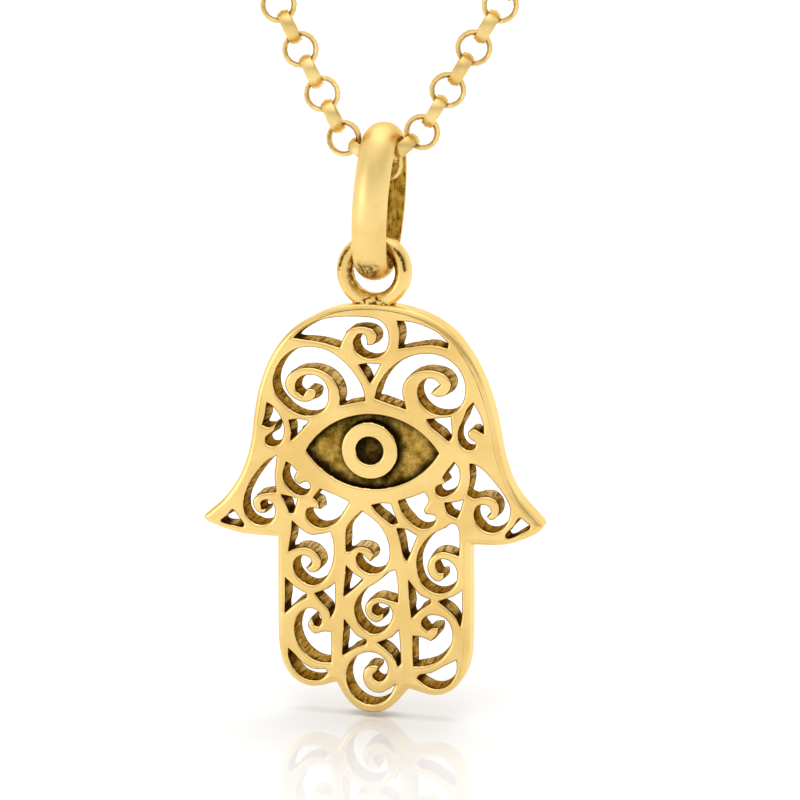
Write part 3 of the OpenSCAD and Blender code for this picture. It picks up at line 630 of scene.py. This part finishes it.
# Patina in the bore and on the inner bevel, with painted shade that makes it darker at the top and
# less at the bottom, and painted shade along the outer bevel's upper crease
bore_patina_and_shade = (1 - smooth_step(loop_out, 1.62 * mm, 1.95 * mm)) * (0.95 + 0.4 * np.sin(loop_turn))
off_top = np.abs(np.degrees(loop_turn) - 90)
crease = np.exp(-(((loop_out - side_out) / (0.07 * mm)) ** 2)) * (loop_y < -0.3 * mm)
crease = 3.5 * crease * smooth_step(off_top, 40, 50) * (1 - smooth_step(off_top, 80, 92))
loop = made_piece(
    "hand_loop",
    np.stack([
        loop_at[0] + loop_out * np.cos(loop_turn), loop_at[1] + loop_y + 0 * loop_turn,
        loop_at[2] + loop_out * np.sin(loop_turn),
    ], 2).reshape(-1, 3),
    grid_faces(loop_steps, len(loop_section))[:, ::-1],
    {"patina_and_shade": np.maximum(bore_patina_and_shade, crease).reshape(-1)},
)
loop.data.materials.append(gold("loop_gold", roughness=0.26))
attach(loop, "hand")

# The solder is a low block of gold solder that holds the loop's foot to the dome. It set in small rough
# lumps, and polishing residue lies brown between them.

solder_low = 1.75 * mm
solder_high = 1.15 * mm
solder_half = 0.78 * mm
solder_rise = 0.93 * mm
loop_sink = 0.43 * mm
solder_sink = 0.35 * mm
solder_foot = loop_at[2] - loop_r + loop_sink - solder_sink
lump_size = 0.26 * mm
lump_out = 0.13 * mm
lump_in = 0.07 * mm
solder_rows, solder_columns = 70, 120


def lumps(points, seed, size, count=24):
    """A lumpy height from 0 to 1 at points (x, y, z): a sum of waves of about that size in all directions,
    folded up at 0, so that the lumps meet in sharp troughs."""
    rng = np.random.default_rng(seed)
    way = rng.normal(size=(count, 3)) / size
    wave = np.sin(points @ way.T * 2 + rng.uniform(0, 2 * math.pi, count)).sum(-1) / math.sqrt(count)
    return np.abs(np.clip(wave, -1.5, 1.5)) / 1.5


# A block that narrows upwards: its sections are ellipses, squared off by powers under 1, that shrink
# quickly at either end
solder_u = np.linspace(0.04, math.pi - 0.04, solder_rows)[:, None]
solder_v = np.linspace(0, 2 * math.pi, solder_columns, endpoint=False)[None]
closing = np.sin(solder_u) ** 0.3
height = 0.5 - 0.5 * np.sign(np.cos(solder_u)) * np.abs(np.cos(solder_u)) ** 0.8
half_w = solder_low + (solder_high - solder_low) * height
solder_co = np.stack([
    closing * half_w * np.sign(np.cos(solder_v)) * np.abs(np.cos(solder_v)) ** 0.6,
    closing * solder_half * np.sign(np.sin(solder_v)) * np.abs(np.sin(solder_v)) ** 0.5,
    solder_rise * height + 0 * solder_v,
], 2)
lump = lumps(solder_co, 5, lump_size)
solder_out = np.stack(np.broadcast_arrays(np.cos(solder_v), np.sin(solder_v), 2 * height - 1), 2)
solder_co = solder_co + solder_out * (lump_out * lump - lump_in)[..., None]
solder = made_piece(
    "hand_solder", (solder_co + [loop_at[0], 0, solder_foot]).reshape(-1, 3),
    closed_tube(solder_rows, solder_columns),
    {"patina_and_shade": 2.2 - 2.2 * smooth_step(lump, 0.08, 0.3).reshape(-1)}, sharp=60,
)
solder.data.materials.append(gold("solder_gold", colour_of(234, 196, 112), gold_deep, 0.32, grain=0.04 * mm))
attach(solder, "hand")

# The bail is a closed band of gold, domed outside and flat inside, that hangs on the chain and carries
# the loop. Its outside is polished, and its inside keeps the marks of the mandrel.

bail_top = np.array(joints["bail_swing"]["pos_m"])
bail_across = np.array(joints["bail_swing"]["axis"])
bail_up = np.array([-bail_across[2], 0, bail_across[0]])
bail_w = 2.4 * mm
bail_h = 10.85 * mm
bail_t = 0.9 * mm
bail_edge = 0.2 * mm
bail_gap = 4.9 * mm
bail_bend = 1.75 * mm
bail_soft = 0.07 * mm
flat_below = 0.03 * mm
bail_reach = bail_h / 2 - bail_t - bail_bend
side_r = ((bail_gap / 2) ** 2 + bail_reach**2 - bail_bend**2) / (bail_gap - 2 * bail_bend)
side_turn = math.asin(bail_reach / (side_r - bail_bend))


def oval(bend_steps, side_steps):
    """Points (y, up) and outward normals round an oval of four arcs, from the upper bend's end at the back
    over it and down the front: each is the middle of its arc plus the normal times its radius."""
    quarter = math.pi / 2
    parts = []
    for number, (steps, half) in enumerate(((bend_steps, quarter - side_turn), (side_steps, side_turn)) * 2):
        angle = quarter * (number + 1) + np.linspace(-half, half, steps, endpoint=False)
        normal = np.stack([np.cos(angle), np.sin(angle)], 1)
        facing = np.array([math.cos(quarter * (number + 1)), math.sin(quarter * (number + 1))])
        radius, middle = ((side_r, bail_gap / 2 - side_r), (bail_bend, bail_reach))[number % 2 == 0]
        parts.append((middle * facing + radius * normal, normal))
    return (np.concatenate(part) for part in zip(*parts))


crown = np.linspace(-1, 1, 25)
dome_r = ((bail_w / 2) ** 2 + (bail_t - bail_edge) ** 2) / (2 * (bail_t - bail_edge))
dome = bail_t - dome_r + np.sqrt(dome_r**2 - (crown * bail_w / 2) ** 2)
bail_section = rounded_section(
    [(-bail_w / 2, 0), *zip(crown * bail_w / 2, dome), (bail_w / 2, 0)], bail_soft, 3
)
path, path_out = oval(56, 56)
path[:, 1] -= bail_reach
band = (
    bail_top
    + bail_section[None, :, 0, None] * bail_across
    + (path[:, None, 0] + bail_section[None, :, 1] * path_out[:, None, 0])[..., None] * np.array([0, 1, 0])
    + (path[:, None, 1] + bail_section[None, :, 1] * path_out[:, None, 1])[..., None] * bail_up
)
flat_inside = (bail_section[:, 1] < flat_below) & (np.roll(bail_section[:, 1], -1) < flat_below)
# Patina: where the file marks are, at the lower end of the front and along the middle of the crown
low_front = np.degrees(np.arctan2(path_out[:, 1], path_out[:, 0])) % 360
low_front = smooth_step(low_front, 205, 214) * (1 - smooth_step(low_front, 232, 250))
on_crown = 1 - smooth_step(np.abs(bail_section[:, 0]), 0.55 * mm, 0.9 * mm)
on_crown = (bail_section[:, 1] > flat_below) * on_crown
bail = made_piece(
    "bail_band", band.reshape(-1, 3), grid_faces(len(path), len(bail_section)),
    {
        "patina_and_shade": 0.85 * (low_front[:, None] * on_crown[None]).reshape(-1),
        "edge": np.full(band[..., 0].size, far), "deep": np.full(band[..., 0].size, 0.45),
    },
    np.tile(flat_inside.astype(int), len(path)), sharp=50,
)
for material in (
    gold("bail_gold", colour_of(250, 219, 145), colour_of(238, 202, 127), roughness=0.38),
    sawn_gold("bail_inside", (1, 1, 0.3), colour_of(226, 184, 82), colour_of(174, 132, 36)),
):
    bail.data.materials.append(material)
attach(bail, "bail")
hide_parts("bail")

# The chain is a gold belcher chain: round links bent from flattened wire and soldered shut, each lying
# across the next. From the link that carries the bail, both strands run up to the neck, round it and to
# the clasp.

chain_len = 406.4 * mm
link_d = 2.5 * mm
link_t = 0.34 * mm
link_w = 0.8 * mm
link_bore = link_d - 2 * link_t
link_pitch = 1.67 * mm
link_twist = math.radians(14)
clasp_len = 12 * mm
# The left and the right strand's slopes from level, and those of their first two links
slopes = np.radians([180 - 63, 58])
firsts = np.radians([180 - 29.5, 40.5])
links_a_side = 2 * round(((chain_len - clasp_len) / link_pitch - 4) / 4) + 1
loop_len = 2 * (links_a_side + 1) * link_pitch + clasp_len


def along(angle):
    """Unit vectors (x, z) at those angles from level."""
    return np.stack([np.cos(angle), np.sin(angle)], -1)


def crossed(a, b):
    """Cross product of two vectors of the plane."""
    return a[..., 0] * b[..., 1] - a[..., 1] * b[..., 0]


# The strands start at the knees, past the first two links. Their lines cross at the apex, and the circle
# over the neck touches both lines and is as large as the chain's length asks
knees = 2 * link_pitch * along(firsts)
way = along(slopes)
knee_reach = np.array([crossed(knees[0] - knees[1], way[1]), crossed(knees[0] - knees[1], way[0])])
knee_reach /= crossed(way[0], way[1])
apex = knees[0] - knee_reach[0] * way[0]
half_open = (slopes[0] - slopes[1]) / 2
neck_r = loop_len - 4 * link_pitch + knee_reach.sum()
neck_r /= 2 / math.tan(half_open) + math.pi + 2 * half_open
neck_mid = apex + neck_r / math.sin(half_open) * along(slopes.mean())
strands = neck_r / math.tan(half_open) - knee_reach
carrier = -neck_mid - np.array([0, neck_r])


def route(side, s):
    """Places and slopes on one side of the chain, so far from the link that carries the bail: a short
    first slope, a straight strand that touches the circle over the neck, then that circle."""
    turn = -1 if side == 0 else 1
    u = (s - 2 * link_pitch - strands[side]) / neck_r
    first_leg, second_leg = s <= 2 * link_pitch, u <= 0
    slope = np.where(first_leg, firsts[side], np.where(second_leg, slopes[side], slopes[side] + turn * u))
    at_first = s[:, None] * along(firsts[side])
    at_second = knees[side] + (s - 2 * link_pitch)[:, None] * way[side]
    at_third = neck_mid + neck_r * along(slopes[side] + turn * (u - math.pi / 2))
    place = np.where(first_leg[:, None], at_first, np.where(second_leg[:, None], at_second, at_third))
    return carrier + place, slope


def links(middles, ways, across, thick, wide, turns=16):
    """Points and quads of many equal rings. Each lies in the plane of its own two unit vectors. The wire's
    section, five corners of a D with its flat side inwards, is carried round the circle of its middle."""
    radial = thick * np.array([-0.5, 0.12, 0.5, 0.12, -0.5])
    axial = wide * np.array([-0.36, -0.5, 0, 0.5, 0.36])
    angle = np.linspace(0, 2 * math.pi, turns, endpoint=False)
    ring_r = (link_bore + thick) / 2 + radial[None, None, :, None]
    c, s = (f(angle)[None, :, None, None] for f in (np.cos, np.sin))
    axis = np.cross(ways, across)
    co = (
        middles[:, None, None] + ring_r * (c * ways[:, None, None] + s * across[:, None, None])
        + axial[None, None, :, None] * axis[:, None, None]
    )
    quads = grid_faces(turns, len(radial))
    faces = quads[None] + (np.arange(len(middles)) * turns * len(radial))[:, None, None]
    return co.reshape(-1, 3), faces.reshape(-1, 4)


chain_gold = gold("chain_gold", colour_of(247, 217, 145), colour_of(234, 200, 127), roughness=0.36)
for side, name in enumerate(("left", "right")):
    order = np.arange(side, links_a_side + 1)
    place, slope = route(side, order * link_pitch)
    middles = np.stack([place[:, 0], np.zeros(len(order)), place[:, 1]], 1)
    ways = np.stack([np.cos(slope), np.zeros(len(order)), np.sin(slope)], 1)
    # Past its first links each strand is twisted a little, so that every second link faces the right
    twist = link_twist * smooth_step(order, 0, 4)
    twist *= 1 - smooth_step(order, links_a_side - 6, links_a_side - 1)
    facing = np.stack([np.sin(twist), -np.cos(twist), 0 * twist], 1)
    facing -= (facing * ways).sum(1, keepdims=True) * ways
    facing /= np.linalg.norm(facing, axis=1, keepdims=True)
    across = np.where((order % 2 == 0)[:, None], np.cross(facing, ways), facing)
    co, faces = links(middles, ways, across, link_t, link_w)
    # Painted shade on the five corners of the wire, carried by the same mark as patina: brown along its two
    # inner edges, and none on its crown
    edge_shade = np.tile([0.4, 0.08, 0, 0.08, 0.4], len(co) // 5)
    strand = made_piece(f"{name}_strand", co, faces, {"patina_and_shade": edge_shade}, sharp=70)
    strand.data.materials.append(chain_gold)
    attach(strand, "chain")
    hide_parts(f"chain_{name}")

# The clasp is a small barrel turned from gold, with an eye soldered to each end for the last links. The
# photograph doesn't show it, so it is plain, with two fine grooves as turned barrels have.

clasp_d = 3 * mm
clasp_taper = 1.2 * mm
clasp_tip_r = 0.75 * mm
clasp_eye_t = 0.4 * mm
groove = 0.12 * mm
barrel_steps = 48
ends = np.array([route(side, np.array([(links_a_side + 1) * link_pitch]))[0][0] for side in (0, 1)])
span = np.linalg.norm(ends[1] - ends[0])
lie = (ends[1] - ends[0]) / span
tip = (span - link_bore - clasp_eye_t) / 2
# Half the barrel's outline, as radii and distances from its tip: the taper, then a groove
half_barrel = [
    (clasp_tip_r * 0.9, 0.0), (clasp_tip_r, 0.06 * mm), (1.12 * mm, 0.5 * mm),
    (clasp_d / 2 - 0.06 * mm, clasp_taper - 0.12 * mm), (clasp_d / 2, clasp_taper + 0.05 * mm),
    (clasp_d / 2, clasp_taper + 0.5 * mm), (clasp_d / 2 - groove, clasp_taper + 0.56 * mm),
    (clasp_d / 2 - groove, clasp_taper + 0.7 * mm), (clasp_d / 2, clasp_taper + 0.76 * mm),
]
profile = np.array([(r, a - tip) for r, a in half_barrel] + [(r, tip - a) for r, a in half_barrel[::-1]])
turn = np.linspace(0, 2 * math.pi, barrel_steps, endpoint=False)[None]
lie3 = np.array([lie[0], 0, lie[1]])
up3 = np.array([-lie[1], 0, lie[0]])
clasp_mid = np.insert(ends.mean(0), 1, 0)
barrel_co = (
    clasp_mid + profile[:, None, 1, None] * lie3
    + (profile[:, 0, None] * np.cos(turn))[..., None] * np.array([0, 1, 0])
    + (profile[:, 0, None] * np.sin(turn))[..., None] * up3
).reshape(-1, 3)
eye_co, eye_faces = links(
    np.stack([clasp_mid - span / 2 * lie3, clasp_mid + span / 2 * lie3]),
    np.stack([lie3, lie3]), np.stack([up3, up3]), clasp_eye_t, link_w, 40,
)
clasp = made_piece(
    "clasp_barrel", np.concatenate([barrel_co, eye_co]),
    closed_tube(len(profile), barrel_steps) + (eye_faces + len(barrel_co)).tolist(), sharp=30,
)
clasp.data.materials.append(gold("clasp_gold", roughness=0.2))
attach(clasp, "chain")
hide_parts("clasp")

# The camera stands where the photograph was taken from: a long lens, 14 degrees to the hand's right and
# 11 degrees above it.

photo_side = 800
photo_iris = (368.9, 451.1)
pixel = 0.069 * mm
camera_azimuth = math.radians(14)
camera_elevation = math.radians(11)
lens_in_pixels = 2500
sensor_in_mm = 36
camera_back = Vector((
    math.sin(camera_azimuth) * math.cos(camera_elevation),
    -math.cos(camera_azimuth) * math.cos(camera_elevation),
    math.sin(camera_elevation),
))
camera_right = Vector((math.cos(camera_azimuth), math.sin(camera_azimuth), 0))
camera_up = camera_back.cross(camera_right)
looked_at = (
    Vector((iris_at[0], plate_front, iris_at[1]))
    + (photo_side / 2 - photo_iris[0]) * pixel * camera_right
    + (photo_iris[1] - photo_side / 2) * pixel * camera_up
)
camera_data = bpy.data.cameras.new("camera")
camera_data.sensor_width = sensor_in_mm
camera_data.lens = sensor_in_mm * lens_in_pixels / photo_side
camera_data.clip_start = 0.01
camera_data.clip_end = 50
camera = bpy.data.objects.new("camera", camera_data)
camera.location = looked_at + lens_in_pixels * pixel * camera_back
camera.rotation_mode = "QUATERNION"
camera.rotation_quaternion = (-camera_back).to_track_quat("-Z", "Y")
bpy.context.scene.collection.objects.link(camera)
bpy.context.scene.camera = camera

# The floor is a plain white gloss surface just under the tip of the middle finger. The light is a white
# room with pale walls, a bright ceiling, a window on the left, a darker band in front, over the camera,
# and a slightly brighter wall behind.

floor_gap = 0.35 * mm
floor_half = 4.0
floor_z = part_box("hand")[0].z - floor_gap
floor_sides = np.array([(-1, -1), (1, -1), (1, 1), (-1, 1)]) * floor_half
floor = made_piece("floor", np.insert(floor_sides, 2, floor_z, axis=1), np.array([[0, 1, 2, 3]]))
floor_white, node = new_material("floor_white")
finished(node, {"Base Color": (0.69, 0.69, 0.69, 1), "Roughness": 0.04, "IOR": 1.45})
floor.data.materials.append(floor_white)

world = bpy.data.worlds.new("white_room")
world.use_nodes = True
node = node_maker(world.node_tree)
direction = node("TexCoord").outputs["Generated"]
toward = node("SeparateXYZ", {"Vector": direction}).outputs
upward, backward = toward["Z"], toward["Y"]
dark_band = product(node, ramp(node, upward, 0.24, 0.3), ramp(node, upward, 0.46, 0.56, 1.0, 0.0))
dark_band = product(node, dark_band, ramp(node, backward, -0.3, 0.1, 1.0, 0.0))
ceiling = ramp(node, upward, 0.74, 0.88, 1.02, 1.6)
room = product(node, ceiling, ramp(node, dark_band, 0.0, 1.0, 1.0, 0.55))
window = node("VectorMath", {0: direction, 1: (-0.76, -0.64, 0.1)}, operation="DOT_PRODUCT").outputs["Value"]
behind = product(node, ramp(node, upward, 0.1, 0.5, 0.16, 0.0), ramp(node, backward, 0.3, 0.6))
room = total(node, room, ramp(node, window, 0.9, 0.99, 0.0, 0.8))
room = total(node, room, behind)
# The camera itself sees the room as plain white
to_camera = node("LightPath").outputs["Is Camera Ray"]
brightness = node("Mix", {"Factor": to_camera, "A": room, "B": 1.0}, data_type="FLOAT").outputs[0]
white = node("Background", {"Color": (1, 1, 1, 1), "Strength": brightness})
node("OutputWorld", {"Surface": white.outputs[0]})
bpy.context.scene.world = world

# The lamp above lights the floor and the sawn walls, and casts the pendant's soft shadow. The polished
# gold mirrors the room alone.

lamp_width, lamp_depth = 0.46, 0.75
lamp_watts = 2.6
lamp_place = Vector((0, -0.02, 0.6))
lamp_data = bpy.data.lights.new("lamp_above", "AREA")
lamp_data.shape = "RECTANGLE"
lamp_data.size, lamp_data.size_y, lamp_data.energy = lamp_width, lamp_depth, lamp_watts
lamp = bpy.data.objects.new("lamp_above", lamp_data)
lamp.location = looked_at + lamp_place
lamp.visible_glossy = False
bpy.context.scene.collection.objects.link(lamp)
bpy.context.scene.view_settings.view_transform = "Standard"
